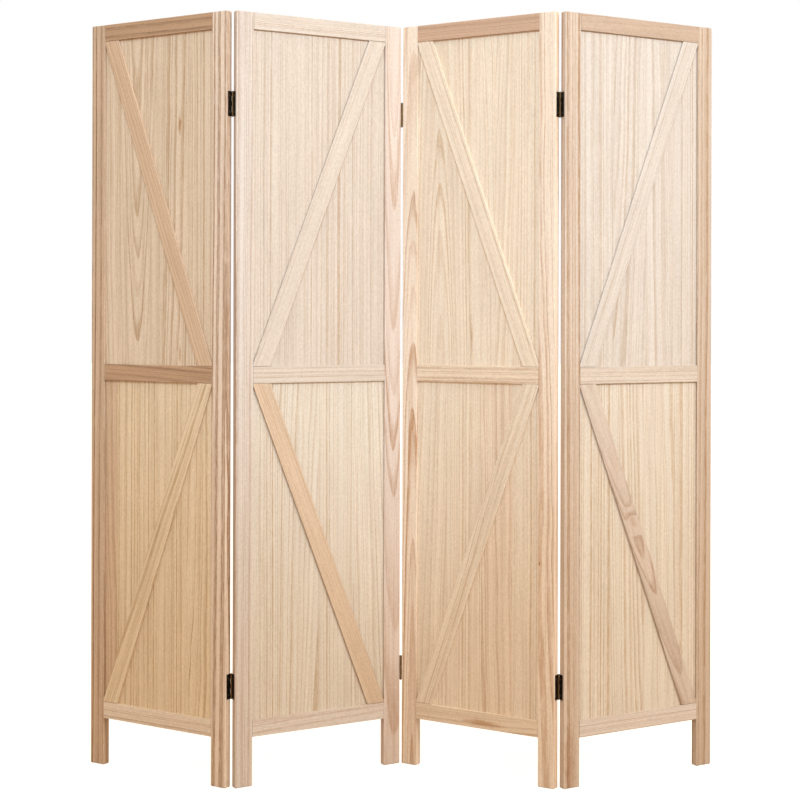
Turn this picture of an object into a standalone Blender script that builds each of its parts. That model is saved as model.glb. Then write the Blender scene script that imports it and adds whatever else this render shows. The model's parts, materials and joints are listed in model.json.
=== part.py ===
"""Folding room divider screen: four framed wooden panels joined by three vertical folds.

Run it with blender --background --python part.py, or from Blender's text editor.
Units are metres, +Z is up, -Y is the front. The origin is on the floor, in the middle of the
screen's footprint. Each panel is built in its own frame (x across, y through the thickness,
z up from the floor) and then turned about the folds into the standing zigzag.
"""

import math

import bmesh
import bpy
from mathutils import Matrix, Vector

# Overall sizes
HEIGHT = 1.700
PANEL_WIDTH = 0.400
FRAME_THICKNESS = 0.018
REST_TURN = math.radians(60.5)      # how far each fold is turned from flat when it stands

# Frame members
STILE_WIDTH = 0.040
RAIL_HEIGHT = 0.0375
LEG_HEIGHT = 0.108                  # floor to the underside of the bottom rail
MIDDLE_RAIL_BASE = 0.884            # floor to the underside of the middle rail
EDGE_EASE = 0.0010                  # rounding of the sawn edges
FOOT_EASE = 0.0030                  # rounding of the bottom of each leg

# Boards and the groove that holds them
BOARD_THICKNESS = 0.006
FRONT_RECESS = 0.005                # board face to frame face, at the front
GROOVE_DEPTH = 0.006
BOARD_END_PLAY = 0.001              # room at the bottom of the groove
TENON_STEP = 0.0015                 # shoulder left between a rail's groove and its tenon

# Diagonal braces
BRACE_WIDTH = 0.040
BRACE_SIDE_CUT = 0.006              # short cut against the stile at each end
BRACE_EASE = 0.0008

# Butt hinges
HINGE_HEIGHT = 0.055
UPPER_HINGE_DROP = 0.2025           # top of the screen to the upper hinge's middle
LOWER_HINGE_RISE = 0.221            # floor to the lower hinge's middle
KNUCKLE_DIAMETER = 0.0036
PIN_DIAMETER = 0.0016
PIN_PROUD = 0.0008                  # pin axis in front of the face it folds towards
PIN_HEAD_DIAMETER = 0.0033
PIN_HEAD_HEIGHT = 0.0009
PIN_HEAD_PROFILE = ((1.0, 0.5), (0.6, 0.9), (0.0, 1.0))    # shares of its radius and height
LEAF_THICKNESS = 0.0010
LEAF_COVER = 0.0125                 # how much of the stile's edge a leaf covers
LEAF_CORNER = 0.0012
SCREW_SPACING = 0.036
SCREW_SHANK_DIAMETER = 0.0032
SCREW_HEAD_DIAMETER = 0.0050
KNUCKLE_COUNT = 5
ROUND_SEGMENTS = 20
HOLE_SEGMENTS = 14

# Clearances
FIT_GAP = 0.0003                    # between touching pieces
CUT_OVERRUN = 0.002                 # how far a cutter passes the face it opens
SAME_PLACE = 1e-6                   # points closer than this are one point
SHARP_ANGLE = math.radians(35)      # faces that turn less than this are shaded smooth

# Derived from the values above
OPENING_WIDTH = PANEL_WIDTH - 2 * STILE_WIDTH
RAIL_LENGTH = OPENING_WIDTH - 2 * FIT_GAP
LOWER_OPENING = (LEG_HEIGHT + RAIL_HEIGHT, MIDDLE_RAIL_BASE)
UPPER_OPENING = (MIDDLE_RAIL_BASE + RAIL_HEIGHT, HEIGHT - RAIL_HEIGHT)
BOARD_Y = -FRAME_THICKNESS / 2 + FRONT_RECESS + BOARD_THICKNESS / 2
GROOVE_WIDTH = BOARD_THICKNESS + 2 * FIT_GAP
BOARD_TONGUE = GROOVE_DEPTH - BOARD_END_PLAY
TENON_LENGTH = GROOVE_DEPTH - FIT_GAP
TENON_SHOULDER = GROOVE_DEPTH + TENON_STEP
BRACE_THICKNESS = FRONT_RECESS - FIT_GAP
END_GAP = KNUCKLE_DIAMETER + 2 * FIT_GAP    # between two panels' edges when a fold is flat
PIN_ACROSS = PANEL_WIDTH / 2 + END_GAP / 2  # panel centre to pin axis, across the panel
PIN_THROUGH = FRAME_THICKNESS / 2 + PIN_PROUD
KNUCKLE_LENGTH = (HINGE_HEIGHT - (KNUCKLE_COUNT - 1) * FIT_GAP) / KNUCKLE_COUNT
BORE_DIAMETER = PIN_DIAMETER + 2 * FIT_GAP
LEAF_START = KNUCKLE_DIAMETER / 2 + FIT_GAP # where the plate clears the other leaf's knuckles
LEAF_REACH = LEAF_COVER + PIN_PROUD         # pin axis to the leaf's free edge
SCREW_ACROSS = (LEAF_START + LEAF_REACH) / 2

WOOD_COLOURS = {1: (0.63, 0.47, 0.32), 2: (0.80, 0.68, 0.56), 3: (0.74, 0.58, 0.42), 4: (0.73, 0.60, 0.45)}
BOARD_LIGHTENING = 1.06
HINGE_COLOUR = (0.035, 0.028, 0.022)
PIN_COLOUR = (0.055, 0.045, 0.036)

BACK = 1
FRONT = -1


# ---------------------------------------------------------------- materials and mesh helpers

def make_material(name, colour, roughness, metallic):
    """A Principled material of one colour."""
    material = bpy.data.materials.new(name)
    material.use_nodes = True
    shader = material.node_tree.nodes["Principled BSDF"]
    shader.inputs["Base Color"].default_value = (*colour, 1.0)
    shader.inputs["Roughness"].default_value = roughness
    shader.inputs["Metallic"].default_value = metallic
    return material


def box_bmesh(low, high):
    """A plain box between two corners."""
    low, high = Vector(low), Vector(high)
    shape = bmesh.new()
    bmesh.ops.create_cube(shape, size=1.0)
    for vertex in shape.verts:
        vertex.co = [low[i] + (vertex.co[i] + 0.5) * (high[i] - low[i]) for i in range(3)]
    return shape


def round_edges(shape, chosen, radius, segments=2):
    """Round the edges for which chosen(edge) is true."""
    edges = [edge for edge in shape.edges if chosen(edge)]
    bmesh.ops.bevel(shape, geom=edges, offset=radius, segments=segments, profile=0.5, affect="EDGES")


def runs_along(edge, axis):
    """True for an edge that is parallel to the given axis number."""
    run = edge.verts[1].co - edge.verts[0].co
    return all(abs(run[i]) < SAME_PLACE for i in range(3) if i != axis)


def lies_at(edge, axis, value):
    """True for an edge with both ends at one value of an axis."""
    return all(abs(vertex.co[axis] - value) < SAME_PLACE for vertex in edge.verts)


def cylinder_bmesh(radius, start, end, segments, axis="Z", end_radius=None):
    """A round bar or cone along an axis, from start to end."""
    shape = bmesh.new()
    bmesh.ops.create_cone(
        shape, cap_ends=True, segments=segments, radius1=radius,
        radius2=radius if end_radius is None else end_radius, depth=end - start)
    bmesh.ops.translate(shape, verts=shape.verts, vec=(0, 0, (start + end) / 2))
    if axis == "X":
        bmesh.ops.rotate(shape, verts=shape.verts, matrix=Matrix.Rotation(math.pi / 2, 3, "Y"))
    return shape


def shift(shape, offset):
    """Move a bmesh and return it."""
    bmesh.ops.translate(shape, verts=shape.verts, vec=offset)
    return shape


def to_mesh(shape, name):
    """Turn a bmesh into a mesh with its faces pointing out."""
    shape.normal_update()
    bmesh.ops.recalc_face_normals(shape, faces=shape.faces)
    mesh = bpy.data.meshes.new(name)
    shape.to_mesh(mesh)
    shape.free()
    return mesh


def carve(name, base, added=(), removed=()):
    """Join and cut shapes with exact Booleans, and return the finished mesh."""
    body = bpy.data.objects.new(name, to_mesh(base, name))
    bpy.context.scene.collection.objects.link(body)
    tools = []
    for operation, shapes in (("UNION", added), ("DIFFERENCE", removed)):
        for shape in shapes:
            tool = bpy.data.objects.new(f"{name}_tool", to_mesh(shape, f"{name}_tool"))
            tool.hide_render = True
            tool.display_type = "WIRE"
            bpy.context.scene.collection.objects.link(tool)
            modifier = body.modifiers.new(operation.lower(), "BOOLEAN")
            modifier.operation = operation
            modifier.solver = "EXACT"
            modifier.object = tool
            tools.append(tool)
    graph = bpy.context.evaluated_depsgraph_get()
    mesh = bpy.data.meshes.new_from_object(body.evaluated_get(graph))
    for item in (body, *tools):
        bpy.data.objects.remove(item, do_unlink=True)
    return mesh


# ---------------------------------------------------------------- wooden pieces

def stile_mesh(inner):
    """A stile standing on the floor, with a stopped groove in its inner edge (inner is +1 or -1)."""
    half = STILE_WIDTH / 2
    shape = box_bmesh((-half, -FRAME_THICKNESS / 2, 0), (half, FRAME_THICKNESS / 2, HEIGHT))
    round_edges(shape, lambda e: runs_along(e, 2) or lies_at(e, 2, HEIGHT), EDGE_EASE)
    round_edges(shape, lambda e: lies_at(e, 2, 0), FOOT_EASE)
    sides = sorted((inner * (half - GROOVE_DEPTH), inner * (half + CUT_OVERRUN)))
    groove = box_bmesh(
        (sides[0], BOARD_Y - GROOVE_WIDTH / 2, LEG_HEIGHT + TENON_SHOULDER - FIT_GAP),
        (sides[1], BOARD_Y + GROOVE_WIDTH / 2, HEIGHT - TENON_SHOULDER + FIT_GAP))
    return carve("stile", shape, removed=[groove])


def rail_mesh(groove_above, groove_below):
    """A rail from its own underside up, with stub tenons and a groove where a board enters."""
    half = RAIL_LENGTH / 2
    shape = box_bmesh((-half, -FRAME_THICKNESS / 2, 0), (half, FRAME_THICKNESS / 2, RAIL_HEIGHT))
    round_edges(shape, lambda e: runs_along(e, 0), EDGE_EASE)
    reach = half + FIT_GAP + TENON_LENGTH
    tenon = box_bmesh(
        (-reach, BOARD_Y - BOARD_THICKNESS / 2, TENON_SHOULDER),
        (reach, BOARD_Y + BOARD_THICKNESS / 2, RAIL_HEIGHT - TENON_SHOULDER))
    grooves = []
    for wanted, low, high in (
            (groove_below, -CUT_OVERRUN, GROOVE_DEPTH),
            (groove_above, RAIL_HEIGHT - GROOVE_DEPTH, RAIL_HEIGHT + CUT_OVERRUN)):
        if wanted:
            grooves.append(box_bmesh(
                (-half - CUT_OVERRUN, BOARD_Y - GROOVE_WIDTH / 2, low),
                (half + CUT_OVERRUN, BOARD_Y + GROOVE_WIDTH / 2, high)))
    return carve("rail", shape, added=[tenon], removed=grooves)


def board_mesh(opening):
    """A thin board, about its own centre, that reaches into the grooves all round."""
    half_width = OPENING_WIDTH / 2 + BOARD_TONGUE
    half_height = (opening[1] - opening[0]) / 2 + BOARD_TONGUE
    shape = box_bmesh(
        (-half_width, -BOARD_THICKNESS / 2, -half_height),
        (half_width, BOARD_THICKNESS / 2, half_height))
    return to_mesh(shape, "board")


def brace_angle(opening):
    """Lean of a brace from upright, so that its side cut has the stated height."""
    across = OPENING_WIDTH / 2 - FIT_GAP
    up = (opening[1] - opening[0]) / 2 - FIT_GAP - BRACE_SIDE_CUT
    return math.acos(BRACE_WIDTH / 2 / math.hypot(across, up)) - math.atan2(up, across)


def brace_mesh(opening):
    """A flat strip along z, about its own centre, its ends cut to fit when it leans to +x."""
    across = OPENING_WIDTH / 2 - FIT_GAP
    up = (opening[1] - opening[0]) / 2 - FIT_GAP
    angle = brace_angle(opening)
    half_cut = BRACE_WIDTH / 2 / math.cos(angle)
    rail_cut_end = up * math.tan(angle) - half_cut
    corner_points = [(rail_cut_end, up), (across, up), (across, up - BRACE_SIDE_CUT)]
    outline = corner_points + [(-x, -z) for x, z in corner_points]
    upright = Matrix.Rotation(angle, 2)
    shape = bmesh.new()
    front = []
    for point in outline:
        x, z = upright @ Vector(point)
        front.append(shape.verts.new((x, -BRACE_THICKNESS / 2, z)))
    face = shape.faces.new(front)
    grown = bmesh.ops.extrude_face_region(shape, geom=[face])
    moved = [item for item in grown["geom"] if isinstance(item, bmesh.types.BMVert)]
    bmesh.ops.translate(shape, verts=moved, vec=(0, BRACE_THICKNESS, 0))
    bmesh.ops.recalc_face_normals(shape, faces=shape.faces)
    round_edges(shape, lambda e: lies_at(e, 1, -BRACE_THICKNESS / 2), BRACE_EASE)
    return to_mesh(shape, "brace")


# ---------------------------------------------------------------- hinge pieces

def knuckle_spans(first):
    """The z spans of every second knuckle, starting with the given one, about the middle."""
    pitch = KNUCKLE_LENGTH + FIT_GAP
    base = -HINGE_HEIGHT / 2
    return [(base + i * pitch, base + i * pitch + KNUCKLE_LENGTH) for i in range(first, KNUCKLE_COUNT, 2)]


def leaf_mesh(first):
    """A hinge leaf about its pin axis: its plate is on the +x side and runs to -y."""
    outer = KNUCKLE_DIAMETER / 2
    inner = outer - LEAF_THICKNESS
    plate = box_bmesh((inner, -LEAF_REACH, -HINGE_HEIGHT / 2), (outer, -LEAF_START, HINGE_HEIGHT / 2))
    round_edges(plate, lambda e: runs_along(e, 0) and lies_at(e, 1, -LEAF_REACH), LEAF_CORNER, 3)
    added = []
    for low, high in knuckle_spans(first):
        added.append(box_bmesh((inner, -LEAF_START - CUT_OVERRUN, low), (outer, 0, high)))
        added.append(cylinder_bmesh(outer, low, high, ROUND_SEGMENTS))
    half = HINGE_HEIGHT / 2 + CUT_OVERRUN
    removed = [cylinder_bmesh(BORE_DIAMETER / 2, -half, half, ROUND_SEGMENTS)]
    head, shank = SCREW_HEAD_DIAMETER / 2, SCREW_SHANK_DIAMETER / 2
    for z in (-SCREW_SPACING / 2, SCREW_SPACING / 2):
        place = (0, -SCREW_ACROSS, z)
        through = cylinder_bmesh(shank, inner - CUT_OVERRUN, outer + CUT_OVERRUN, HOLE_SEGMENTS, "X")
        sink = cylinder_bmesh(
            head + CUT_OVERRUN, inner - CUT_OVERRUN, inner + head - shank, HOLE_SEGMENTS, "X", shank)
        removed += [shift(through, place), shift(sink, place)]
    return carve("leaf", plate, added=added, removed=removed)


def pin_mesh():
    """A hinge pin about its middle, turned, with a low domed head at each end."""
    radius, head = PIN_DIAMETER / 2, PIN_HEAD_DIAMETER / 2
    half = HINGE_HEIGHT / 2 + FIT_GAP
    dome = [(across * head, half + up * PIN_HEAD_HEIGHT) for across, up in PIN_HEAD_PROFILE]
    profile = [(radius, 0), (radius, half), (head, half)] + dome
    profile = [(x, -z) for x, z in reversed(profile[1:])] + profile[1:]
    shape = bmesh.new()
    points = [shape.verts.new((x, 0, z)) for x, z in profile]
    edges = [shape.edges.new(pair) for pair in zip(points, points[1:])]
    bmesh.ops.spin(
        shape, geom=points + edges, cent=(0, 0, 0), axis=(0, 0, 1), angle=2 * math.pi, steps=ROUND_SEGMENTS)
    bmesh.ops.remove_doubles(shape, verts=shape.verts, dist=SAME_PLACE)
    return to_mesh(shape, "pin")


# ---------------------------------------------------------------- layout in plan

def turned(yaw, x, y):
    """A panel-frame offset turned into plan directions."""
    return Vector((x * math.cos(yaw) - y * math.sin(yaw), x * math.sin(yaw) + y * math.cos(yaw)))


def plan_layout():
    """Plan centre and yaw of every panel, and plan place of every fold's axis.

    Panels 1 and 3 come forward as they go right, panels 2 and 4 go back. The outer folds are
    ridges with their pins at the back, and the middle fold is a valley with its pins in front.
    """
    yaw = {number: REST_TURN / 2 * (-1 if number % 2 else 1) for number in range(1, 5)}
    centre = {}
    fold = {"fold_middle": Vector((0.0, 0.0))}
    centre[2] = fold["fold_middle"] - turned(yaw[2], PIN_ACROSS, -PIN_THROUGH)
    centre[3] = fold["fold_middle"] - turned(yaw[3], -PIN_ACROSS, -PIN_THROUGH)
    fold["fold_left"] = centre[2] + turned(yaw[2], -PIN_ACROSS, PIN_THROUGH)
    fold["fold_right"] = centre[3] + turned(yaw[3], PIN_ACROSS, PIN_THROUGH)
    centre[1] = fold["fold_left"] - turned(yaw[1], PIN_ACROSS, PIN_THROUGH)
    centre[4] = fold["fold_right"] - turned(yaw[4], -PIN_ACROSS, PIN_THROUGH)
    depths = []
    for number in centre:
        for x in (-PANEL_WIDTH / 2, PANEL_WIDTH / 2):
            for y in (-FRAME_THICKNESS / 2, FRAME_THICKNESS / 2):
                depths.append((centre[number] + turned(yaw[number], x, y)).y)
    middle = Vector((0.0, (min(depths) + max(depths)) / 2))
    for table in (centre, fold):
        for key in table:
            table[key] = table[key] - middle
    return centre, yaw, fold


# ---------------------------------------------------------------- assembly

def add_empty(name, location, parent=None, yaw=0.0):
    """An empty that carries a panel or marks a fold's axis."""
    empty = bpy.data.objects.new(name, None)
    empty.location = location
    empty.rotation_euler = (0, 0, yaw)
    empty.parent = parent
    bpy.context.scene.collection.objects.link(empty)
    return empty


def add_piece(name, mesh, material, parent, location, rotation=(0, 0, 0), smooth=False):
    """One named sub-part, with its own mesh and material, placed in its panel's frame."""
    mesh = mesh.copy()
    mesh.name = name
    mesh.materials.clear()
    mesh.materials.append(material)
    if smooth:
        mesh.shade_smooth()
        mesh.set_sharp_from_angle(angle=SHARP_ANGLE)
    piece = bpy.data.objects.new(name, mesh)
    piece.location = location
    piece.rotation_euler = rotation
    piece.parent = parent
    bpy.context.scene.collection.objects.link(piece)
    return piece


def add_panel(number, frame, meshes):
    """The nine wooden pieces of one panel."""
    base = WOOD_COLOURS[number]
    light = tuple(min(1.0, channel * BOARD_LIGHTENING) for channel in base)
    stile_x = PANEL_WIDTH / 2 - STILE_WIDTH / 2
    lean = 1 if number % 2 else -1
    brace_y = -FRAME_THICKNESS / 2 + BRACE_THICKNESS / 2
    upper_middle = sum(UPPER_OPENING) / 2
    lower_middle = sum(LOWER_OPENING) / 2
    pieces = [
        ("left_stile", "left_stile", base, (-stile_x, 0, 0), 0),
        ("right_stile", "right_stile", base, (stile_x, 0, 0), 0),
        ("top_rail", "top_rail", base, (0, 0, HEIGHT - RAIL_HEIGHT), 0),
        ("middle_rail", "middle_rail", base, (0, 0, MIDDLE_RAIL_BASE), 0),
        ("bottom_rail", "bottom_rail", base, (0, 0, LEG_HEIGHT), 0),
        ("upper_board", "upper_board", light, (0, BOARD_Y, upper_middle), 0),
        ("lower_board", "lower_board", light, (0, BOARD_Y, lower_middle), 0),
        ("upper_brace", f"upper_brace_{-lean}", base, (0, brace_y, upper_middle),
         -lean * brace_angle(UPPER_OPENING)),
        ("lower_brace", f"lower_brace_{lean}", base, (0, brace_y, lower_middle),
         lean * brace_angle(LOWER_OPENING)),
    ]
    for part, mesh, colour, place, turn in pieces:
        name = f"panel_{number}_{part}"
        material = make_material(name, colour, 0.6, 0.0)
        add_piece(name, meshes[mesh], material, frame, place, (0, turn, 0))


def mirrored(mesh):
    """A copy of a mesh mirrored in x."""
    shape = bmesh.new()
    shape.from_mesh(mesh)
    for vertex in shape.verts:
        vertex.co.x = -vertex.co.x
    return to_mesh(shape, mesh.name)


def add_fold(label, side, left_frame, right_frame, meshes):
    """The two butt hinges of one fold: side says which face their pins stand on."""
    heights = {"upper": HEIGHT - UPPER_HINGE_DROP, "lower": LOWER_HINGE_RISE}
    if side == BACK:
        left_turn, right_turn = (0, math.pi, 0), (0, 0, 0)
    else:
        left_turn, right_turn = (0, 0, math.pi), (math.pi, 0, 0)
    for level, z in heights.items():
        name = f"{label}_{level}_hinge"
        at_left = (PIN_ACROSS, side * PIN_THROUGH, z)
        at_right = (-PIN_ACROSS, side * PIN_THROUGH, z)
        pieces = [
            ("left_leaf", "outer_leaf", left_frame, at_left, left_turn, HINGE_COLOUR),
            ("right_leaf", "inner_leaf", right_frame, at_right, right_turn, HINGE_COLOUR),
            ("pin", "pin", left_frame, at_left, (0, 0, 0), PIN_COLOUR),
        ]
        for part, mesh, frame, place, turn, colour in pieces:
            material = make_material(f"{name}_{part}", colour, 0.4, 0.9)
            add_piece(f"{name}_{part}", meshes[mesh], material, frame, place, turn, smooth=True)


def build():
    """The whole screen."""
    for item in list(bpy.data.objects):
        bpy.data.objects.remove(item, do_unlink=True)
    meshes = {
        "left_stile": stile_mesh(1),
        "right_stile": stile_mesh(-1),
        "top_rail": rail_mesh(False, True),
        "middle_rail": rail_mesh(True, True),
        "bottom_rail": rail_mesh(True, False),
        "upper_board": board_mesh(UPPER_OPENING),
        "lower_board": board_mesh(LOWER_OPENING),
        "upper_brace_1": brace_mesh(UPPER_OPENING),
        "lower_brace_1": brace_mesh(LOWER_OPENING),
        "outer_leaf": leaf_mesh(0),
        "inner_leaf": leaf_mesh(1),
        "pin": pin_mesh(),
    }
    meshes["upper_brace_-1"] = mirrored(meshes["upper_brace_1"])
    meshes["lower_brace_-1"] = mirrored(meshes["lower_brace_1"])

    centre, yaw, fold = plan_layout()
    axis_of = {1: fold["fold_left"], 2: Vector((0.0, 0.0)), 3: fold["fold_middle"], 4: fold["fold_right"]}
    frames = {}
    for number in range(1, 5):
        axis = axis_of[number]
        pivot = add_empty(f"panel_{number}_axis", (axis.x, axis.y, 0))
        offset = centre[number] - axis
        frames[number] = add_empty(f"panel_{number}_frame", (offset.x, offset.y, 0), pivot, yaw[number])
        add_panel(number, frames[number], meshes)
    add_fold("fold_left", BACK, frames[1], frames[2], meshes)
    add_fold("fold_middle", FRONT, frames[2], frames[3], meshes)
    add_fold("fold_right", BACK, frames[3], frames[4], meshes)
    for mesh in meshes.values():
        bpy.data.meshes.remove(mesh)


build()
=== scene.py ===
"""Looks for the folding room divider screen: four pale wood panels on dark bronze hinges.

Every CAD node is stood for by a finer copy of itself. Outer edges are rounded over, boards show the
strips they are glued from, and each piece carries the timber coordinates that its grain is drawn in.
"""
import json
import math
import random

import bmesh
import bpy
from mathutils import Matrix, Vector


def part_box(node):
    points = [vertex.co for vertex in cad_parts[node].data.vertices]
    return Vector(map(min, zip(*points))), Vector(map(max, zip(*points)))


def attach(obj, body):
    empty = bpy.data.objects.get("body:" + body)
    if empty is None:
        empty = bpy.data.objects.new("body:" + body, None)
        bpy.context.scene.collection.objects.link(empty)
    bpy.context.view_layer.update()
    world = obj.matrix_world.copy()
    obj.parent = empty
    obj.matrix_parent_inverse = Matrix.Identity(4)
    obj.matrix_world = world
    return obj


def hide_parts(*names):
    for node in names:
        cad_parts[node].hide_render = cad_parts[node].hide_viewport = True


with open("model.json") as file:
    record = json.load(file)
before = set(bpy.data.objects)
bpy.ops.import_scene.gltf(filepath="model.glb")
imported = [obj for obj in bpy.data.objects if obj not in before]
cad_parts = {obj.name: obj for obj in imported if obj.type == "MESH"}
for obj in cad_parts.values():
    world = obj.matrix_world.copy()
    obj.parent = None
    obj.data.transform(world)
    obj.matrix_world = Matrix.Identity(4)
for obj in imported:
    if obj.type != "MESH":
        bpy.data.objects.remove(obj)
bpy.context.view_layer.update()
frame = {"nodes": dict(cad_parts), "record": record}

PANELS = ("panel_1", "panel_2", "panel_3", "panel_4")
MM = 1000.0     # millimetres in a metre
HALF = (0.5, 0.5, 0.5)
WHITE = (1.0, 1.0, 1.0, 1.0)

# ---------------------------------------------------------------- shared helpers

def new_object(name, data):
    """An object in the scene that shows this data."""
    item = bpy.data.objects.new(name, data)
    bpy.context.scene.collection.objects.link(item)
    return item


def mesh_of(shape, name):
    """A shape as a mesh. The shape itself is used up."""
    mesh = bpy.data.meshes.new(name)
    shape.to_mesh(mesh)
    shape.free()
    return mesh


class Wiring:
    """Shorthand for adding and joining the nodes of one material."""

    def __init__(self, material):
        material.use_nodes = True
        self.tree = material.node_tree
        self.shader = self.tree.nodes["Principled BSDF"]

    def add(self, kind, **settings):
        node = self.tree.nodes.new(kind)
        for key, value in settings.items():
            setattr(node, key, value)
        return node

    def feed(self, socket, value):
        if isinstance(value, bpy.types.NodeSocket):
            self.tree.links.new(value, socket)
        else:
            socket.default_value = value

    def run(self, node, values, output=0):
        for socket, value in zip(node.inputs, values):
            self.feed(socket, value)
        return node.outputs[output]

    def math(self, operation, *values):
        return self.run(self.add("ShaderNodeMath", operation=operation), values)

    def vector(self, operation, *values):
        return self.run(self.add("ShaderNodeVectorMath", operation=operation), values)

    def attribute(self, name):
        return self.add("ShaderNodeAttribute", attribute_name=name).outputs["Vector"]

    def number(self, name):
        return self.add("ShaderNodeAttribute", attribute_name=name).outputs["Fac"]

    def split(self, vector):
        node = self.add("ShaderNodeSeparateXYZ")
        self.feed(node.inputs[0], vector)
        return node.outputs[0], node.outputs[1], node.outputs[2]

    def rise(self, value, low, high, start=0.0, end=1.0):
        """A smooth step from start to end as value goes from low to high."""
        node = self.add("ShaderNodeMapRange", interpolation_type="SMOOTHSTEP")
        for name, item in zip(("Value", "From Min", "From Max", "To Min", "To Max"),
                              (value, low, high, start, end)):
            self.feed(node.inputs[name], item)
        return node.outputs[0]

    def noise(self, place, stretch, detail=2.0, rough=0.5, colour=False):
        """Noise about a place in millimetres, with features of stretch's size in each direction."""
        scaled = self.vector("DIVIDE", place, stretch)
        node = self.add("ShaderNodeTexNoise", noise_dimensions="3D")
        self.feed(node.inputs["Vector"], scaled)
        node.inputs["Scale"].default_value = 1.0
        node.inputs["Detail"].default_value = detail
        node.inputs["Roughness"].default_value = rough
        return node.outputs["Color" if colour else "Fac"]

    def mix(self, amount, first, second, blend="MIX"):
        node = self.add("ShaderNodeMix", data_type="RGBA", blend_type=blend)
        for name, item in (("Factor_Float", amount), ("A_Color", first), ("B_Color", second)):
            socket = [s for s in node.inputs if s.identifier == name][0]
            self.feed(socket, item)
        return [s for s in node.outputs if s.identifier == "Result_Color"][0]

    def fall(self, value, low, high):
        """A smooth step from 1 to 0 as value goes from low to high."""
        return self.rise(value, low, high, 1.0, 0.0)

    def length(self, first, second):
        """The length of a vector with these two parts."""
        squares = [self.math("MULTIPLY", part, part) for part in (first, second)]
        return self.math("SQRT", self.math("ADD", *squares))

    def about_one(self, value, spread):
        """A value from 0 to 1 as a factor that goes half of spread to either side of 1."""
        return self.math("MULTIPLY_ADD", value, spread, 1.0 - spread / 2)

    def emboss(self, height, strength):
        """Raises the surface by a height in millimetres."""
        bump = self.add("ShaderNodeBump")
        bump.inputs["Strength"].default_value = strength
        bump.inputs["Distance"].default_value = 1.0 / MM
        self.feed(bump.inputs["Height"], height)
        self.feed(self.shader.inputs["Normal"], bump.outputs[0])

    def grey(self, value):
        """A number as a colour."""
        node = self.add("ShaderNodeCombineColor")
        for socket in node.inputs:
            self.feed(socket, value)
        return node.outputs[0]


def linear(red, green, blue):
    """A colour given as it looks, 0 to 255, in the linear numbers a shader takes."""
    return tuple(((c / 255 + 0.055) / 1.055) ** 2.4 for c in (red, green, blue))


# ---------------------------------------------------------------- wood material

# Sizes of what varies in the wood, in mm across, through and along the grain.
SWAY_SIZE = (85.0, 85.0, 430.0)     # slow bends of the growth rings
RIPPLE_SIZE = (16.0, 16.0, 120.0)   # quick bends of the growth rings
RAGGED_SIZE = (5.0, 5.0, 22.0)      # the outline of a mark
BREAK_SIZE = (3.5, 3.5, 42.0)       # stretches where a growth line fades
FIBRE_SIZE = (0.55, 0.55, 46.0)
STREAK_SIZE = (9.0, 20.0, 520.0)
THREAD_SIZE = (1.7, 3.0, 260.0)
CLOUD_SIZE = (46.0, 46.0, 210.0)
PORE_SIZE = (0.42, 0.42, 7.0)
CURL_SIZE = (9.0, 9.0, 2.6)
FLECK_SIZE = (2.6, 2.6, 6.5)
RUB_SIZE = (7.0, 7.0, 30.0)         # patches where an edge is rubbed

RIPPLE_SHARE = 0.16                 # quick bends as a share of the slow ones
RING_DRIFT = 5.0                    # how many rings the spacing gains or loses
RING_DRIFT_LENGTH = 31.0            # over how many mm of radius
STREAK_DEPTH, THREAD_DEPTH = 0.34, 0.30
RING_SPREAD, FIBRE_SPREAD, CLOUD_SPREAD, CURL_SPREAD = 0.05, 0.13, 0.16, 0.06
PORE_DEPTH = 0.16
STAIN_TONE = (0.62, 0.40, 0.22, 1.0)
END_TONE, END_DEPTH = (0.74, 0.62, 0.50, 1.0), 0.55
RUB_TONE, RUB_DEPTH = (0.86, 0.77, 0.66, 1.0), 0.30
EDGE_NEAR, EDGE_FAR = 0.1, 2.0      # mm from an edge where its wear is full and gone
WOOD_ROUGHNESS, WOOD_GLOSS, WOOD_RELIEF = 0.62, 0.35, 0.8


def marks_in_wood(w, place, x, z):
    """The stain of a piece's two marks, and how many mm they swell its growth rings."""
    ragged = w.noise(place, RAGGED_SIZE, 3.0, 0.6)
    stain, swell = 0.0, 0.0
    for letter in "ab":
        mark_x, mark_z, swirl = w.split(w.attribute(f"mark_{letter}_place"))
        half_width, half_length, depth = w.split(w.attribute(f"mark_{letter}_size"))
        off_x = w.math("DIVIDE", w.math("SUBTRACT", x, mark_x), half_width)
        off_z = w.math("DIVIDE", w.math("SUBTRACT", z, mark_z), half_length)
        away = w.length(off_x, off_z)
        torn = w.math("ADD", away, w.math("MULTIPLY_ADD", ragged, 1.6, -0.8))
        stain = w.math("MAXIMUM", stain, w.math("MULTIPLY", w.fall(torn, 0.25, 1.15), depth))
        swell = w.math("ADD", swell, w.math("MULTIPLY", w.fall(away, 0.0, 2.6), swirl))
    return stain, swell


def heart_distance(w, place, grain, waviness):
    """How far a point is from the heart of its log, in mm, with the bends of the rings."""
    x, y, z = w.split(grain)
    heart_across, heart_depth, heart_lean = w.split(w.attribute("heart"))
    sway = w.vector("SUBTRACT", w.noise(place, SWAY_SIZE, 2.0, 0.45, True), HALF)
    ripple = w.vector("SUBTRACT", w.noise(place, RIPPLE_SIZE, 2.0, 0.5, True), HALF)
    sway_x, sway_y, _ = w.split(sway)
    ripple_x, ripple_y, _ = w.split(ripple)
    fine = w.math("MULTIPLY", waviness, RIPPLE_SHARE)
    across = w.math("SUBTRACT", w.math("MULTIPLY_ADD", sway_x, waviness, x), heart_across)
    across = w.math("MULTIPLY_ADD", ripple_x, fine, across)
    through = w.math("SUBTRACT", w.math("MULTIPLY_ADD", sway_y, waviness, y), heart_depth)
    through = w.math("MULTIPLY_ADD", ripple_y, fine, through)
    through = w.math("SUBTRACT", through, w.math("MULTIPLY", heart_lean, z))
    return w.length(across, through)


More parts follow.
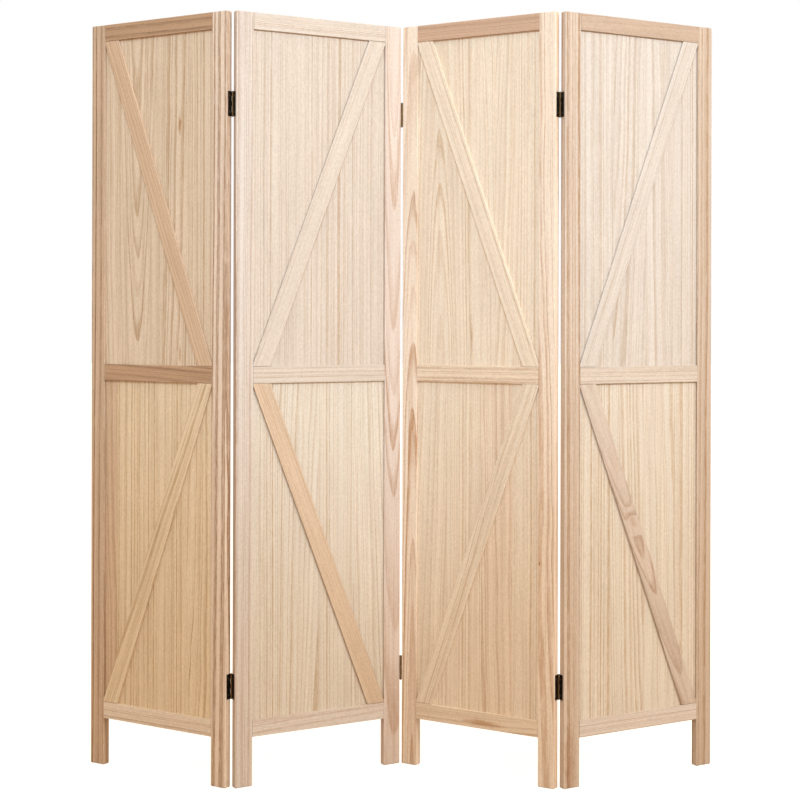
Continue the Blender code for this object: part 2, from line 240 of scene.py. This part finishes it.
def growth_rings(w, place, seed, radius, ring_width):
    """The dark line of each ring, how far through its ring a point is, and a draw for each ring."""
    uneven = w.add("ShaderNodeTexNoise", noise_dimensions="1D")
    w.feed(uneven.inputs["W"], w.math("DIVIDE", radius, RING_DRIFT_LENGTH))
    uneven.inputs["Scale"].default_value = 1.0
    even_turns = w.math("DIVIDE", radius, ring_width)
    turns = w.math("MULTIPLY_ADD", uneven.outputs["Fac"], RING_DRIFT, even_turns)
    number, part = w.math("FLOOR", turns), w.math("FRACT", turns)
    seed_x, _, _ = w.split(seed)
    draw = w.add("ShaderNodeTexWhiteNoise", noise_dimensions="1D")
    w.feed(draw.inputs["W"], w.math("ADD", number, seed_x))
    line_draw, level_draw, _ = w.split(draw.outputs["Color"])
    late = w.math("MULTIPLY", w.rise(part, 0.38, 0.88), w.fall(part, 0.93, 1.0))
    late = w.math("MULTIPLY", late, w.math("MULTIPLY_ADD", line_draw, 0.85, 0.25))
    broken = w.noise(place, BREAK_SIZE, 3.0, 0.6)
    late = w.math("MULTIPLY", late, w.rise(broken, 0.30, 0.62, 0.45, 1.15))
    return late, part, level_draw


def edge_wear(w, place, grain):
    """How rubbed the edges are, and how far a point is on end grain."""
    gaps = [w.math("SUBTRACT", reach, w.math("ABSOLUTE", along))
            for reach, along in zip(w.split(w.attribute("reach")), w.split(grain))]
    near_x, near_y, near_z = [w.fall(gap, EDGE_NEAR, EDGE_FAR) for gap in gaps]
    worn = w.math("MULTIPLY", near_x, near_y)
    worn = w.math("MAXIMUM", worn, w.math("MULTIPLY", near_z, w.math("MAXIMUM", near_x, near_y)))
    rub = w.rise(w.noise(place, RUB_SIZE, 3.0, 0.6), 0.40, 0.66)
    return w.math("MULTIPLY", worn, rub), w.fall(gaps[2], 0.05, 0.7)


def wood_material(name, fibre_depth):
    """Planed softwood, drawn in timber coordinates: x across the grain, y through, z along, in mm.

    Growth rings are circles about the heart of the log, which lies at heart = (across, depth, lean)
    from the piece's middle. Rings lean with the heart, so a flat cut shows arches and a cut far from
    the heart shows straight lines.
    """
    material = bpy.data.materials.new(name)
    w = Wiring(material)
    grain, seed = w.attribute("grain"), w.attribute("seed")
    place = w.vector("ADD", grain, seed)
    ring_width, strength, waviness = w.split(w.attribute("ring"))
    x, _, z = w.split(grain)
    stain, swell = marks_in_wood(w, place, x, z)
    radius = w.math("ADD", heart_distance(w, place, grain, waviness), swell)
    late, part, level_draw = growth_rings(w, place, seed, radius, ring_width)
    line = w.math("MULTIPLY", late, strength)
    worn, end_grain = edge_wear(w, place, grain)

    fibre = w.noise(place, FIBRE_SIZE, 3.0, 0.55)
    streak = w.noise(place, STREAK_SIZE, 3.0, 0.55)
    thread = w.noise(place, THREAD_SIZE, 2.0, 0.5)
    cloud = w.noise(place, CLOUD_SIZE, 3.0, 0.55)
    pores = w.rise(w.noise(place, PORE_SIZE, 2.0, 0.5), 0.60, 0.72)
    pores = w.math("MULTIPLY", pores, w.rise(part, 0.45, 0.0, 0.35, 1.0))
    curl = w.noise(place, CURL_SIZE, 2.0, 0.55)
    fleck = w.noise(place, FLECK_SIZE, 3.0, 0.65)

    colour = w.mix(line, w.attribute("early"), w.attribute("late"))
    colour = w.mix(w.rise(streak, 0.48, 0.74, 0.0, STREAK_DEPTH), colour, w.attribute("late"))
    colour = w.mix(w.rise(thread, 0.52, 0.72, 0.0, THREAD_DEPTH), colour, w.attribute("late"))
    level = w.about_one(level_draw, RING_SPREAD)
    for value, spread in ((fibre, FIBRE_SPREAD), (cloud, CLOUD_SPREAD), (curl, CURL_SPREAD)):
        level = w.math("MULTIPLY", level, w.about_one(value, spread))
    level = w.math("MULTIPLY", level, w.rise(fleck, 0.32, 0.66, 0.925, 1.06))
    level = w.math("MULTIPLY", level, w.math("MULTIPLY_ADD", pores, -PORE_DEPTH, 1.0))
    colour = w.mix(1.0, colour, w.grey(level), "MULTIPLY")
    colour = w.mix(stain, colour, STAIN_TONE, "MULTIPLY")
    colour = w.mix(w.math("MULTIPLY", end_grain, END_DEPTH), colour, END_TONE, "MULTIPLY")
    colour = w.mix(w.math("MULTIPLY", worn, RUB_DEPTH), colour, RUB_TONE, "SCREEN")
    w.feed(w.shader.inputs["Base Color"], colour)

    rough = w.math("MULTIPLY_ADD", line, -0.10, WOOD_ROUGHNESS)
    for value, share in ((fibre, 0.16), (worn, -0.16), (end_grain, 0.12)):
        rough = w.math("MULTIPLY_ADD", value, share, rough)
    w.feed(w.shader.inputs["Roughness"], rough)
    w.shader.inputs["Specular IOR Level"].default_value = WOOD_GLOSS

    height = w.math("MULTIPLY", line, 0.05)
    for value, rise in ((fibre, fibre_depth), (pores, -0.07), (curl, 0.03)):
        height = w.math("MULTIPLY_ADD", value, rise, height)
    w.emboss(height, WOOD_RELIEF)
    return material


# ---------------------------------------------------------------- hinge metal

# Sizes of what varies on the metal, in mm.
BLOTCH_SIZE = (3.2, 3.2, 4.5)
SPECK_SIZE = (0.55, 0.55, 0.55)
METAL_RUB_SIZE = (1.6, 1.6, 2.6)
CAST_SIZE = (0.8, 0.8, 0.8)
# Brass under the plating, showing where it is rubbed through. On the barrel it is also a painted
# highlight for the barrel's reflection.
BRASS = (176, 142, 92)
BLOTCH_LIGHTENING = 2.1
METAL_ROUGHNESS, METAL_SHINE, METAL_RELIEF = 0.24, 0.9, 0.6


def bronze_material(name, shade, speckle):
    """Dark bronze plating, mottled, rubbed to brass where the piece's worn attribute says. On a hinge's
    barrel that brass is partly real wear and partly a painted highlight for the barrel's reflection.
    """
    material = bpy.data.materials.new(name)
    w = Wiring(material)
    place = w.attribute("grain")
    blotch = w.noise(place, BLOTCH_SIZE, 4.0, 0.6)
    speck = w.rise(w.noise(place, SPECK_SIZE, 2.0, 0.6), 0.60, 0.70)
    rub = w.rise(w.noise(place, METAL_RUB_SIZE, 3.0, 0.6), 0.34, 0.60, 0.35, 1.0)
    # worn is real wear on eased edges and screws, and on the barrel also a painted highlight.
    worn = w.math("MULTIPLY", w.number("worn"), rub)
    worn = w.math("MAXIMUM", worn, w.math("MULTIPLY", speck, speckle))
    lighter = tuple(BLOTCH_LIGHTENING * c for c in shade)
    base = w.mix(w.rise(blotch, 0.35, 0.65), shade + (1.0,), lighter + (1.0,))
    w.feed(w.shader.inputs["Base Color"], w.mix(worn, base, linear(*BRASS) + (1.0,)))
    rough = w.math("MULTIPLY_ADD", blotch, 0.30, METAL_ROUGHNESS)
    w.feed(w.shader.inputs["Roughness"], w.math("MULTIPLY_ADD", worn, -0.08, rough))
    w.shader.inputs["Metallic"].default_value = METAL_SHINE
    w.emboss(w.math("MULTIPLY", w.noise(place, CAST_SIZE, 3.0, 0.6), 0.05), METAL_RELIEF)
    return material


# ---------------------------------------------------------------- timbers and how each piece is cut

# The colour of each timber between its growth lines and at them.
TIMBERS = {
    "umber": ((206, 179, 151), (128, 94, 65)),
    "russet": ((190, 156, 125), (130, 97, 70)),
    "drift": ((230, 211, 191), (164, 131, 103)),
    "tan": ((214, 186, 157), (170, 137, 104)),
    "sand": ((222, 203, 179), (182, 153, 120)),
    "straw": ((228, 208, 178), (186, 154, 112)),
    "silver": ((229, 213, 194), (190, 166, 140)),
    "cream": ((208, 196, 183), (183, 162, 141)),
    "rose": ((213, 203, 193), (184, 160, 141)),
    "peach": ((214, 199, 187), (180, 147, 121)),
    "wheat": ((216, 207, 193), (187, 164, 136)),
    "amber": ((212, 190, 166), (182, 149, 115)),
    "honey": ((240, 224, 205), (192, 151, 115)),
    "milk": ((236, 222, 202), (208, 181, 149)),
    "shell": ((234, 216, 194), (199, 166, 136)),
    "blush": ((202, 170, 144), (172, 134, 106)),
    "bone": ((207, 198, 188), (183, 165, 146)),
    "apricot": ((205, 188, 171), (164, 131, 101)),
    "bisque": ((197, 179, 161), (165, 136, 108)),
    "clay": ((186, 163, 143), (162, 133, 107)),
    "mauve": ((203, 188, 174), (174, 147, 126)),
}

# How a piece lies in its log: heart across, heart depth and lean of the heart (all per mm from the
# piece's middle), then ring width, line strength and waviness.
CUTS = {
    "quarter": ((260, 40, 0.01), (7.2, 0.95, 5)),
    "fine": ((220, 60, 0.01), (6.2, 0.95, 4)),
    "bold": ((150, 30, 0.02), (9.5, 1.20, 7)),
    "rift": ((80, 60, 0.04), (8.0, 0.80, 12)),
    "wavy": ((110, 70, 0.03), (11.0, 0.85, 24)),
    "arch": ((4, 34, 0.036), (6.5, 0.90, 9)),
    "lobes": ((9, 26, 0.030), (6.0, 1.10, 8)),
    "plain": ((190, 90, 0.02), (9.0, 0.50, 8)),
}

# Each frame stick and brace: its timber and its cut, and any marks in it. A mark is a place across
# and along the piece, how far the grain swells round it, its half width and length, and its depth.
STICKS = {
    "panel_1_left_stile": ("umber", "bold"),
    "panel_1_right_stile": ("drift", "bold"),
    "panel_1_top_rail": ("russet", "bold"),
    "panel_1_middle_rail": ("russet", "rift"),
    "panel_1_bottom_rail": ("silver", "fine"),
    "panel_1_upper_brace": ("tan", "plain"),
    "panel_1_lower_brace": ("straw", "rift"),
    "panel_2_left_stile": ("rose", "fine"),
    "panel_2_right_stile": ("peach", "arch"),
    "panel_2_top_rail": ("cream", "fine"),
    "panel_2_middle_rail": ("cream", "quarter"),
    "panel_2_bottom_rail": ("rose", "rift"),
    "panel_2_upper_brace": ("cream", "plain"),
    "panel_2_lower_brace": ("amber", "quarter"),
    "panel_3_left_stile": ("honey", "lobes"),
    "panel_3_right_stile": ("honey", "wavy", (-17, -360, 5, 3.5, 5, 0.9)),
    "panel_3_top_rail": ("blush", "fine"),
    "panel_3_middle_rail": ("shell", "quarter"),
    "panel_3_bottom_rail": ("shell", "rift", (6, 20, 2, 8, 60, 0.7)),
    "panel_3_upper_brace": ("milk", "quarter"),
    "panel_3_lower_brace": ("milk", "rift"),
    "panel_4_left_stile": ("apricot", "fine", (-6, -800, 0, 16, 110, 0.5)),
    "panel_4_right_stile": ("bisque", "bold"),
    "panel_4_top_rail": ("clay", "rift"),
    "panel_4_middle_rail": ("cream", "quarter"),
    "panel_4_bottom_rail": ("rose", "fine"),
    "panel_4_upper_brace": ("bone", "quarter"),
    "panel_4_lower_brace": ("mauve", "arch", (4, 60, 6, 9, 22, 0.35)),
}

# Each board's strips from left to right: width in mm, timber and cut. The last one takes what is left.
BOARDS = {
    "panel_1_upper_board": (((50, "sand", "rift"), (92, "sand", "arch"), (105, "sand", "wavy"),
                             (0, "sand", "quarter")),
                            ((62, 165, 4, 5, 24, 0.8), (64, -345, 3, 4, 20, 0.6))),
    "panel_1_lower_board": (((42, "tan", "rift"), (98, "straw", "quarter"), (110, "straw", "quarter"),
                             (0, "straw", "wavy")), ()),
    "panel_2_upper_board": (((75, "cream", "quarter"), (88, "cream", "quarter"), (70, "cream", "fine"),
                             (0, "cream", "quarter")), ()),
    "panel_2_lower_board": (((68, "wheat", "quarter"), (96, "wheat", "rift"), (84, "wheat", "quarter"),
                             (0, "wheat", "rift")), ()),
    "panel_3_upper_board": (((140, "milk", "arch"), (70, "milk", "wavy"), (62, "milk", "rift"),
                             (0, "milk", "quarter")), ((-15, -300, 3, 4, 26, 0.3),)),
    "panel_3_lower_board": (((84, "milk", "rift"), (92, "milk", "quarter"), (80, "shell", "wavy"),
                             (0, "milk", "quarter")), ()),
    "panel_4_upper_board": (((96, "bone", "fine"), (90, "bone", "rift"), (72, "bone", "wavy"),
                             (0, "bone", "quarter")), ()),
    "panel_4_lower_board": (((90, "wheat", "quarter"), (88, "wheat", "rift"), (86, "wheat", "wavy"),
                             (0, "wheat", "quarter")), ()),
}

NO_MARK = (0, 0, 0, 1, 1, 0)


# ---------------------------------------------------------------- finer copies of the CAD nodes

WELD = 1e-5                 # m: corners closer than this are one corner
FLAT = math.radians(1)      # faces that turn less than this are one face
EDGE = math.radians(25)     # an outer edge sharper than this is rounded over
CREASE = math.radians(50)   # an edge sharper than this is shaded sharp
WOOD_EASE, WOOD_STEPS = 0.00045, 3
METAL_EASE, METAL_STEPS = 0.00012, 2
GLUE_LINE = 0.00018         # half width and depth of the groove where two strips meet


def middle(node):
    """The middle of a CAD node's box."""
    low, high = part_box(node)
    return (low + high) / 2


def panel_turn(panel):
    """How a panel stands in plan, as a turn about the upright."""
    across = middle(f"{panel}_right_stile") - middle(f"{panel}_left_stile")
    return Matrix.Rotation(math.atan2(across.y, across.x), 4, "Z")


TURNS = {panel: panel_turn(panel) for panel in PANELS}
BODY_OF = {node: body for body, nodes in frame["record"]["behaviour"]["bodies"].items() for node in nodes}


def copied_shape(node):
    """A node's shape with its corners welded and its flat faces whole."""
    shape = bmesh.new()
    shape.from_mesh(frame["nodes"][node].data)
    bmesh.ops.remove_doubles(shape, verts=shape.verts, dist=WELD)
    bmesh.ops.dissolve_limit(shape, angle_limit=FLAT, verts=shape.verts, edges=shape.edges)
    return shape


def round_over(shape, ease, steps):
    """Rounds the outer edges of a shape over, and returns the faces that this makes."""
    outer = [e for e in shape.edges if e.is_manifold and e.is_convex and e.calc_face_angle() > EDGE]
    made = bmesh.ops.bevel(shape, geom=outer, offset=ease, segments=steps, profile=0.5,
                           affect="EDGES", clamp_overlap=True)
    return made["faces"]


def grain_turn(shape, turn):
    """The turn that lays z along a piece's longest edge, which its grain follows."""
    longest = max(shape.edges, key=lambda e: round(e.calc_length(), 6))
    along = turn.inverted() @ (longest.verts[1].co - longest.verts[0].co)
    if along.z < -WELD or (abs(along.z) <= WELD and along.x < 0):
        along.negate()
    return turn @ Matrix.Rotation(math.atan2(along.x, along.z), 4, "Y")


def face_vectors(shape, name, value_of):
    """Gives each face of a shape a vector that the material reads."""
    layer = shape.faces.layers.float_vector.new(name)
    for face in shape.faces:
        face[layer] = value_of(face)


def grain_coordinates(shape):
    """Gives each corner its place in the piece, in mm, which the materials draw in."""
    layer = shape.verts.layers.float_vector.new("grain")
    for vert in shape.verts:
        vert[layer] = vert.co * MM


def finished(shape, name, place, material, node):
    """The shape as a piece in its place, riding on its node's body and standing for the node."""
    shape.normal_update()
    mesh = mesh_of(shape, name)
    if "custom_normal" in mesh.attributes:
        mesh.attributes.remove(mesh.attributes["custom_normal"])
    mesh.materials.clear()
    mesh.materials.append(material)
    mesh.polygons.foreach_set("use_smooth", [True] * len(mesh.polygons))
    mesh.set_sharp_from_angle(angle=CREASE)
    piece = new_object(name, mesh)
    piece.matrix_world = place
    shading = piece.modifiers.new("flat_faces_stay_flat", "WEIGHTED_NORMAL")
    shading.keep_sharp = True
    shading.weight = 100
    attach(piece, BODY_OF[node])
    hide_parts(node)


def wood_piece(node, strips, marks, material):
    """A wooden piece. strips is [(width in mm, timber, cut)], one for a solid stick."""
    luck = random.Random(node)
    shape = copied_shape(node)
    turn = grain_turn(shape, TURNS[BODY_OF[node]])
    place = Matrix.Translation(middle(node)) @ turn
    shape.transform(place.inverted())
    round_over(shape, WOOD_EASE, WOOD_STEPS)
    reach = [max(abs(v.co[axis]) for v in shape.verts) * MM for axis in range(3)]
    joints = [-reach[0]]
    for width, _, _ in strips[:-1]:
        joints.append(joints[-1] + width)
    for joint in joints[1:]:
        cut_glue_line(shape, joint / MM)
    joints.append(reach[0])
    facts = []
    for (_, timber, cut), low, high in zip(strips, joints, joints[1:]):
        (across, depth, lean), ring = CUTS[cut]
        side = luck.choice((-1, 1))
        heart = ((low + high) / 2 + side * across, depth * luck.uniform(0.85, 1.2),
                 lean * luck.choice((-1, 1)) * luck.uniform(0.8, 1.25))
        early, late = [linear(*tone) for tone in TIMBERS[timber]]
        facts.append({"heart": heart, "ring": (ring[0] * luck.uniform(0.88, 1.12), ring[1], ring[2]),
                      "seed": tuple(luck.uniform(0, 9000) for _ in range(3)),
                      "early": early, "late": late, "reach": reach})

    def strip_of(face):
        x = face.calc_center_median().x * MM
        return facts[min(sum(x > joint for joint in joints[1:-1]), len(facts) - 1)]

    grain_coordinates(shape)
    for name in facts[0]:
        face_vectors(shape, name, lambda face: strip_of(face)[name])
    for letter, mark in zip("ab", (tuple(marks) + (NO_MARK, NO_MARK))[:2]):
        face_vectors(shape, f"mark_{letter}_place", lambda face: mark[:3])
        face_vectors(shape, f"mark_{letter}_size", lambda face: mark[3:])
    finished(shape, f"{node}_wood", place, material, node)


def cut_glue_line(shape, x):
    """A fine groove down both faces of a board, where two of its strips are glued."""
    for offset in (-GLUE_LINE, 0, GLUE_LINE):
        everything = list(shape.verts) + list(shape.edges) + list(shape.faces)
        bmesh.ops.bisect_plane(shape, geom=everything, plane_co=(x + offset, 0, 0), plane_no=(1, 0, 0))
    for vert in shape.verts:
        if abs(vert.co.x - x) < GLUE_LINE / 4:
            vert.co.y -= math.copysign(GLUE_LINE, vert.co.y)


# ---------------------------------------------------------------- hinges and screws

PIN_TO_SCREW = 0.0077   # across the leaf, from the pin's axis to a screw's
SCREW_SPACING = 0.036
LEAF_THICKNESS = 0.0010
LEAF_CLEARANCE = 0.0003  # between a leaf and the stile's end face
SCREW_SUNK = 0.00005     # a screw's head below the face of its leaf
BARREL_REACH = 0.0021    # faces this near the pin's axis are the barrel's
# How much brass shows: rubbed through on eased edges; on the barrel, partly rubbed and partly a painted
# highlight for its reflection.
EDGE_WORN, BARREL_WEAR_AND_SHEEN = 0.9, 0.75

# A screw, in mm.
HEAD_RADIUS, SHANK_RADIUS, RIDGE_RADIUS, ROOT_RADIUS = 2.35, 1.5, 1.35, 1.0
SHANK_END, THREAD_RIDGES, TIP = -2.6, 8, -12.2
SCREW_SIDES = 24
RECESS_LONG, RECESS_SHORT, RECESS_HEIGHT, RECESS_RISE = 3.2, 0.62, 1.6, 0.1
RECESS_TAPER = 0.45      # width of the recess at its bottom, as a share of its top
HEAD_WORN, SCREW_WORN = 1.0, 0.35


def metal_piece(node, material):
    """A hinge leaf or pin with its outer edges eased, which show the most wear. Its barrel faces get
    brass that is partly wear and partly a painted highlight for the barrel's reflection.
    """
    shape = copied_shape(node)
    place = Matrix.Translation(middle(node)) @ TURNS[BODY_OF[node]]
    shape.transform(place.inverted())
    eased = set(round_over(shape, METAL_EASE, METAL_STEPS))
    grain_coordinates(shape)
    pin = node if node.endswith("_pin") else node.rsplit("_", 2)[0] + "_pin"
    axis = place.inverted() @ middle(pin)
    layer = shape.faces.layers.float.new("worn")
    for face in shape.faces:
        centre = face.calc_center_median()
        on_barrel = math.hypot(centre.x - axis.x, centre.y - axis.y) < BARREL_REACH
        # Barrel faces get brass that is partly wear and partly a painted highlight.
        face[layer] = EDGE_WORN if face in eased else BARREL_WEAR_AND_SHEEN if on_barrel else 0.0
    finished(shape, f"{node}_metal", place, material, node)


def screw_profile():
    """Half of a screw's outline from the top of its head to its tip, as (radius, height) in mm."""
    profile = [(0, 0.10), (1.5, 0.06), (2.2, 0), (HEAD_RADIUS, -0.08), (HEAD_RADIUS - 0.05, -0.14),
               (SHANK_RADIUS, -0.95), (SHANK_RADIUS, -2.4)]
    for ridge in range(THREAD_RIDGES):
        top = SHANK_END - ridge
        profile += [(ROOT_RADIUS, top), (ROOT_RADIUS, top - 0.3), (RIDGE_RADIUS, top - 0.6),
                    (ROOT_RADIUS, top - 0.8)]
    return profile + [(0.8, -10.8), (0, TIP)]


def cross_cutter():
    """Two crossed blocks, narrower at the bottom, that cut the recess in a screw's head."""
    shape = bmesh.new()
    for wide, deep in ((RECESS_LONG, RECESS_SHORT), (RECESS_SHORT, RECESS_LONG)):
        for vert in bmesh.ops.create_cube(shape, size=1)["verts"]:
            taper = 1.0 if vert.co.z > 0 else RECESS_TAPER
            vert.co = Vector((vert.co.x * wide * taper / MM, vert.co.y * deep * taper / MM,
                              (vert.co.z * RECESS_HEIGHT + RECESS_RISE) / MM))
    return mesh_of(shape, "recess")


def screw_mesh(material):
    """A countersunk wood screw with a cross recess, its head at the origin and its tip at -z.

    Plain ridges stand for its thread.
    """
    shape = bmesh.new()
    points = [shape.verts.new((radius / MM, 0, height / MM)) for radius, height in screw_profile()]
    edges = [shape.edges.new(pair) for pair in zip(points, points[1:])]
    bmesh.ops.spin(shape, geom=points + edges, cent=(0, 0, 0), axis=(0, 0, 1), angle=2 * math.pi,
                   steps=SCREW_SIDES)
    bmesh.ops.remove_doubles(shape, verts=shape.verts, dist=WELD / 10)
    bmesh.ops.recalc_face_normals(shape, faces=shape.faces)
    body = new_object("screw_body", mesh_of(shape, "screw"))
    cutter = new_object("recess", cross_cutter())
    cut = body.modifiers.new("recess", "BOOLEAN")
    cut.object, cut.operation, cut.solver, cut.use_self = cutter, "DIFFERENCE", "EXACT", True
    done = bpy.data.meshes.new_from_object(body.evaluated_get(bpy.context.evaluated_depsgraph_get()))
    for item in (body, cutter):
        bpy.data.objects.remove(item)
    shape = bmesh.new()
    shape.from_mesh(done)
    grain_coordinates(shape)
    layer = shape.faces.layers.float.new("worn")
    for face in shape.faces:
        on_head = face.calc_center_median().z > -0.7 / MM and face.normal.z < 0.8
        face[layer] = HEAD_WORN if on_head else SCREW_WORN
    shape.to_mesh(done)
    shape.free()
    done.name = "screw"
    done.materials.clear()
    done.materials.append(material)
    done.polygons.foreach_set("use_smooth", [True] * len(done.polygons))
    done.set_sharp_from_angle(angle=math.radians(30))
    return done


def add_screws(leaf, pin, mesh, luck):
    """The two screws that hold a leaf to its stile's end face."""
    body = BODY_OF[leaf]
    turn = TURNS[body]
    local = turn.inverted()
    left_hand = leaf.endswith("left_leaf")
    stile = f"{body}_{'right' if left_hand else 'left'}_stile"
    centre = local @ middle(stile)
    outward = 1 if left_hand else -1
    pin_at = local @ middle(pin)
    points = [local @ v.co for v in frame["nodes"][stile].data.vertices]
    end_face = outward * max(outward * p.x for p in points)
    through = pin_at.y + math.copysign(PIN_TO_SCREW, centre.y - pin_at.y)
    for name, side in (("upper", 1), ("lower", -1)):
        at = Vector((end_face + outward * (LEAF_CLEARANCE + LEAF_THICKNESS - SCREW_SUNK), through,
                     middle(leaf).z + side * SCREW_SPACING / 2))
        tip_in = Matrix.Rotation(outward * math.pi / 2, 4, "Y")
        spin = Matrix.Rotation(luck.uniform(0, math.pi / 2), 4, "Z")
        screw = new_object(f"{leaf}_{name}_screw", mesh)
        screw.matrix_world = turn @ Matrix.Translation(at) @ tip_in @ spin
        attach(screw, body)


# ---------------------------------------------------------------- building the screen

frame_wood = wood_material("frame_wood_planed", 0.035)
board_wood = wood_material("board_wood_glued", 0.030)
brace_wood = wood_material("brace_wood_planed", 0.035)
for node, (timber, cut, *marks) in STICKS.items():
    is_brace = node.endswith("brace")
    wood_piece(node, [(0, timber, cut)], marks, brace_wood if is_brace else frame_wood)
for node, (strips, marks) in BOARDS.items():
    wood_piece(node, strips, marks, board_wood)

leaf_metal = bronze_material("leaf_bronze", (0.030, 0.025, 0.021), 0.25)
pin_metal = bronze_material("pin_bronze", (0.040, 0.032, 0.025), 0.45)
screw = screw_mesh(leaf_metal)
luck = random.Random("screws")
for fold in ("fold_left", "fold_middle", "fold_right"):
    for height in ("upper", "lower"):
        hinge = f"{fold}_{height}_hinge"
        metal_piece(f"{hinge}_pin", pin_metal)
        for side in ("left", "right"):
            leaf = f"{hinge}_{side}_leaf"
            metal_piece(leaf, leaf_metal)
            add_screws(leaf, f"{hinge}_pin", screw, luck)


# ---------------------------------------------------------------- studio

SKY_LOW, SKY_HIGH = 0.63, 1.60          # strength of the sky at the horizon and overhead
SKY_TONE = (1.0, 0.875, 0.74, 1.0)
FLOOR_HALF_WIDTH = 30
FLOOR_TONE = (0.46, 0.36, 0.28, 1.0)    # what the floor sends back up
FLOOR_GLOW = 0.80                       # what it adds for the camera only, to look white
FLOOR_MOTTLE_SIZE, FLOOR_MOTTLE_SPREAD = (0.6, 0.6, 0.6), 0.02
KEY_PLACE, KEY_AIM, KEY_SIZE = (4.2, -2.95, 3.5), (0.0, 0.0, 0.9), 0.9
KEY_POWER, KEY_TONE = 125, (1.0, 0.95, 0.88)
TOP_PLACE, TOP_AIM = (0.6, -4.2, 3.9), (0.0, 0.0, 2.6)
TOP_POWER, TOP_TONE = 600, (0.52, 0.76, 1.0)
TOP_SPREAD, TOP_BLEND, TOP_SIZE = math.radians(49), 0.47, 0.22
CAMERA_PLACE = (0.2413, -3.5515, 1.0351)
CAMERA_TURN = (math.pi / 2, -0.0024, 0.0)
CAMERA_LENS, CAMERA_SENSOR = 70.97, 36.0
CAMERA_SHIFT = (-0.1324, -0.1057)


def add_floor():
    """A wide floor. It throws back a warm light, and glows for the camera so that it looks white."""
    material = bpy.data.materials.new("studio_floor")
    w = Wiring(material)
    place = w.add("ShaderNodeTexCoord").outputs["Object"]
    level = w.about_one(w.noise(place, FLOOR_MOTTLE_SIZE, 2.0, 0.5), FLOOR_MOTTLE_SPREAD)
    w.feed(w.shader.inputs["Base Color"], w.mix(1.0, w.grey(level), FLOOR_TONE, "MULTIPLY"))
    w.feed(w.shader.inputs["Emission Color"], w.grey(level))
    seen = w.add("ShaderNodeLightPath").outputs["Is Camera Ray"]
    w.feed(w.shader.inputs["Emission Strength"], w.math("MULTIPLY", seen, FLOOR_GLOW))
    w.shader.inputs["Roughness"].default_value = 0.8
    w.shader.inputs["Specular IOR Level"].default_value = 0.2
    shape = bmesh.new()
    bmesh.ops.create_grid(shape, x_segments=1, y_segments=1, size=FLOOR_HALF_WIDTH)
    mesh = mesh_of(shape, "studio_floor")
    mesh.materials.append(material)
    new_object("studio_floor", mesh)


def add_lamp(kind, name, location, target, power, colour):
    """A lamp at location that points at target."""
    lamp = bpy.data.lights.new(name, kind)
    lamp.energy, lamp.color = power, colour
    item = new_object(name, lamp)
    item.location = location
    item.rotation_euler = (Vector(target) - Vector(location)).to_track_quat("-Z", "Y").to_euler()
    return lamp


def add_lamps():
    """A softbox high on the right, and a cool spot in front whose soft edge leaves out the lower half."""
    key = add_lamp("AREA", "key", KEY_PLACE, KEY_AIM, KEY_POWER, KEY_TONE)
    key.shape, key.size = "SQUARE", KEY_SIZE
    top = add_lamp("SPOT", "top", TOP_PLACE, TOP_AIM, TOP_POWER, TOP_TONE)
    top.spot_size, top.spot_blend, top.shadow_soft_size = TOP_SPREAD, TOP_BLEND, TOP_SIZE


def add_camera():
    """The camera stands to the right of the screen and looks straight ahead, shifted to frame it."""
    lens = bpy.data.cameras.new("camera")
    lens.lens, lens.sensor_width = CAMERA_LENS, CAMERA_SENSOR
    lens.shift_x, lens.shift_y = CAMERA_SHIFT
    camera = new_object("camera", lens)
    camera.location = CAMERA_PLACE
    camera.rotation_euler = CAMERA_TURN
    bpy.context.scene.camera = camera


def light_the_world(tree):
    """A soft warm light from all round, stronger overhead. The camera sees plain white instead."""
    backdrop = tree.nodes["Background"]
    backdrop.inputs["Color"].default_value = WHITE
    direction = tree.nodes.new("ShaderNodeTexCoord")
    upward = tree.nodes.new("ShaderNodeSeparateXYZ")
    tree.links.new(direction.outputs["Generated"], upward.inputs[0])
    strength = tree.nodes.new("ShaderNodeMapRange")
    tree.links.new(upward.outputs[2], strength.inputs["Value"])
    strength.inputs["To Min"].default_value = SKY_LOW
    strength.inputs["To Max"].default_value = SKY_HIGH
    glow = tree.nodes.new("ShaderNodeBackground")
    glow.inputs["Color"].default_value = SKY_TONE
    tree.links.new(strength.outputs[0], glow.inputs["Strength"])
    seen = tree.nodes.new("ShaderNodeLightPath")
    blend = tree.nodes.new("ShaderNodeMixShader")
    tree.links.new(seen.outputs["Is Camera Ray"], blend.inputs[0])
    tree.links.new(glow.outputs[0], blend.inputs[1])
    tree.links.new(backdrop.outputs[0], blend.inputs[2])
    tree.links.new(blend.outputs[0], tree.nodes["World Output"].inputs["Surface"])


scene = bpy.context.scene
scene.world = bpy.data.worlds.new("studio")
scene.world.use_nodes = True
light_the_world(scene.world.node_tree)
scene.view_settings.view_transform = "Standard"
add_floor()
add_lamps()
add_camera()
